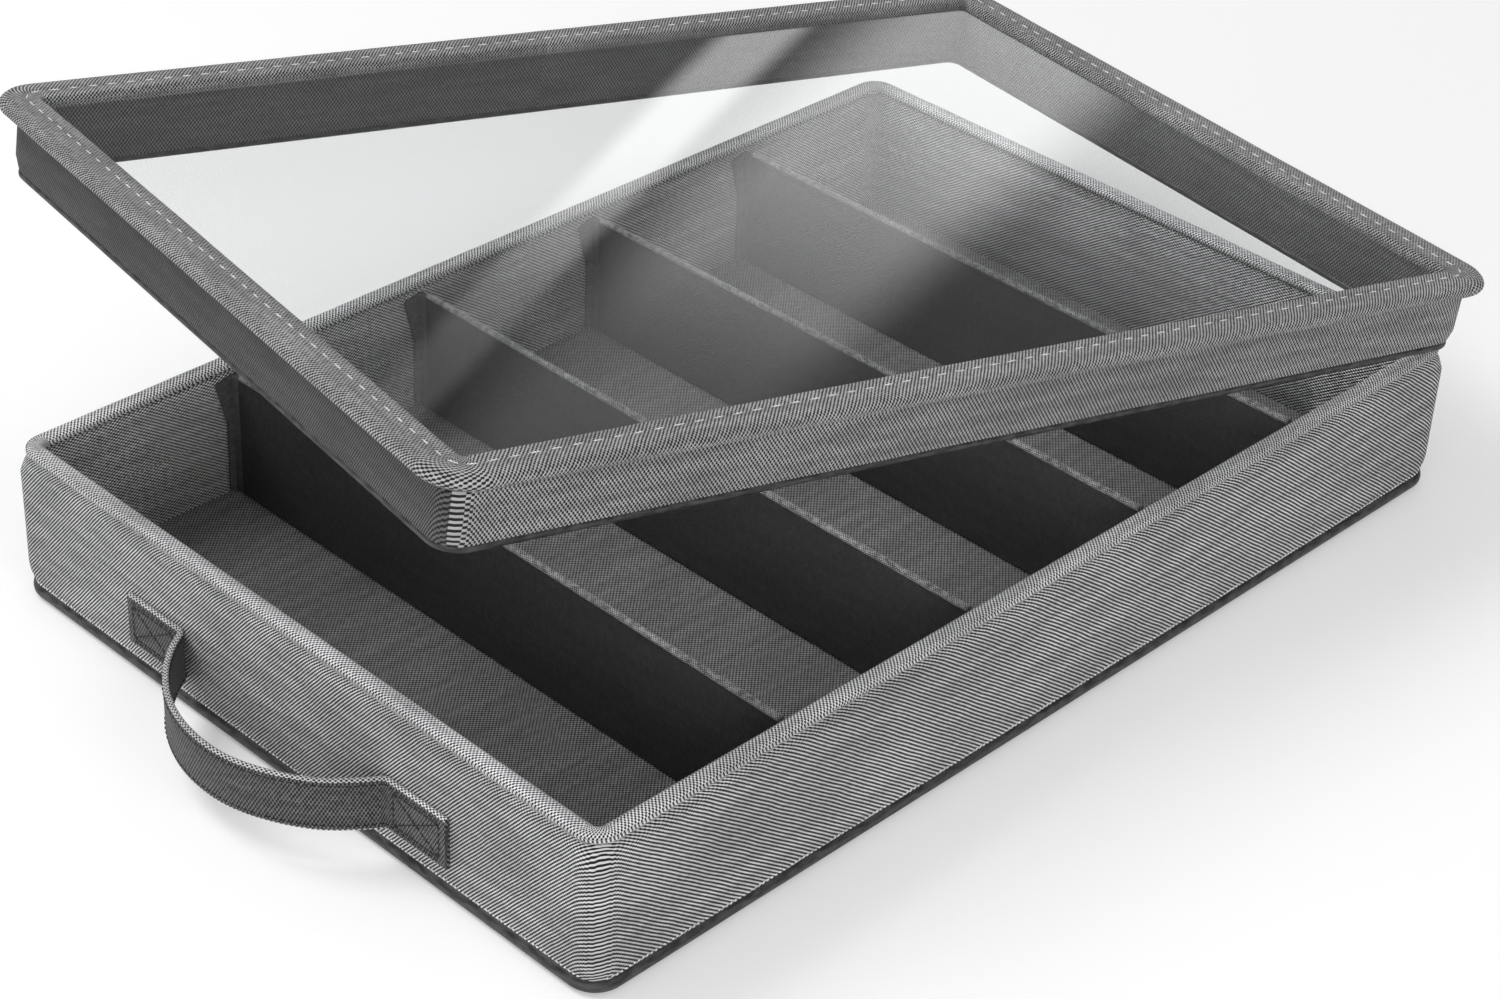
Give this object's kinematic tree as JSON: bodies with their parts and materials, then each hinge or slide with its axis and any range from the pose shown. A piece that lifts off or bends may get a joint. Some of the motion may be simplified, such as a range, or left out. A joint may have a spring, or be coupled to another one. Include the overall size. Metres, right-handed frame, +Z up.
{
  "type": "silverware storage chest",
  "caption": "Soft-sided rectangular cutlery chest with board-stiffened cloth walls, sliding dividers, strap handles and a lift-off lid with a clear window.",
  "frame": {"origin": "middle of the bin's underside, on the plane it stands on", "axes": "+Z up; X runs along the bin, through the two handles; +Y points to the long wall farther from the picture's viewer"},
  "size_m": [0.4662, 0.338, 0.1365],
  "materials": {
    "base_cloth": "plain dark underside cloth",
    "board": "grey-brown paperboard stiffener",
    "bin_twill": "black and white heathered twill",
    "lining": "grey flecked lining cloth",
    "rim_twill": "heathered twill rolled over the edge",
    "edge_tape": "smooth dark grey edging tape",
    "lid_twill": "heathered twill with diagonal rows of flecks",
    "webbing": "heathered strap with overlocked edges",
    "divider_cloth": "matte charcoal cloth",
    "binding": "mid grey binding",
    "tab_cloth": "mid grey folded cloth",
    "clear_film": "clear glossy film",
    "flange_stiffener": "flexible filler strip"
  },
  "bodies": {
    "bin": {"bin_base_cloth": "base_cloth", "bin_base_board": "board", "bin_wall_board_front": "board", "bin_wall_board_back": "board", "bin_wall_board_left": "board", "bin_wall_board_right": "board", "bin_outer_cover": "bin_twill", "bin_inner_lining": "lining", "bin_rim_roll": "rim_twill", "bin_base_piping": "edge_tape", "handle_left_near_sewn_end": "webbing", "handle_left_far_sewn_end": "webbing", "handle_right_near_sewn_end": "webbing", "handle_right_far_sewn_end": "webbing"},
    "handle_left": {"handle_left_loop": "webbing"},
    "handle_right": {"handle_right_loop": "webbing"},
    "divider_1": {"divider_1_core_board": "board", "divider_1_cloth_cover": "divider_cloth", "divider_1_top_binding": "binding", "divider_1_far_tab": "tab_cloth", "divider_1_near_tab": "tab_cloth"},
    "divider_2": {"divider_2_core_board": "board", "divider_2_cloth_cover": "divider_cloth", "divider_2_top_binding": "binding", "divider_2_far_tab": "tab_cloth", "divider_2_near_tab": "tab_cloth"},
    "divider_3": {"divider_3_core_board": "board", "divider_3_cloth_cover": "divider_cloth", "divider_3_top_binding": "binding", "divider_3_far_tab": "tab_cloth", "divider_3_near_tab": "tab_cloth"},
    "divider_4": {"divider_4_core_board": "board", "divider_4_cloth_cover": "divider_cloth", "divider_4_top_binding": "binding", "divider_4_far_tab": "tab_cloth", "divider_4_near_tab": "tab_cloth"},
    "lid": {"lid_skirt_board_front": "board", "lid_skirt_board_back": "board", "lid_skirt_board_left": "board", "lid_skirt_board_right": "board", "lid_skirt_cover": "lid_twill", "lid_skirt_lining": "lining", "lid_bottom_tape": "edge_tape", "lid_window_film": "clear_film", "lid_flange_core": "flange_stiffener", "lid_flange_cover": "rim_twill"}
  },
  "joints": [
    {"name": "lid_lift", "type": "hinge", "parent": "bin", "child": "lid", "pos_m": [0.188, -0.107, 0.0535], "axis": [-0.0339, 0.6459, -0.7627], "range_deg": [-12.9, 3]},
    {"name": "handle_left_swing", "type": "hinge", "parent": "bin", "child": "handle_left", "pos_m": [-0.204, 0, 0.0198], "axis": [0, 1, 0], "range_deg": [-25, 45]},
    {"name": "handle_right_swing", "type": "hinge", "parent": "bin", "child": "handle_right", "pos_m": [0.204, 0, 0.0198], "axis": [0, -1, 0], "range_deg": [-25, 45]},
    {"name": "divider_1_slide", "type": "slide", "parent": "bin", "child": "divider_1", "axis": [1, 0, 0], "range_m": [-0.03, 0.03]},
    {"name": "divider_2_slide", "type": "slide", "parent": "bin", "child": "divider_2", "axis": [1, 0, 0], "range_m": [-0.03, 0.03]},
    {"name": "divider_3_slide", "type": "slide", "parent": "bin", "child": "divider_3", "axis": [1, 0, 0], "range_m": [-0.03, 0.03]},
    {"name": "divider_4_slide", "type": "slide", "parent": "bin", "child": "divider_4", "axis": [1, 0, 0], "range_m": [-0.03, 0.03]}
  ]
}
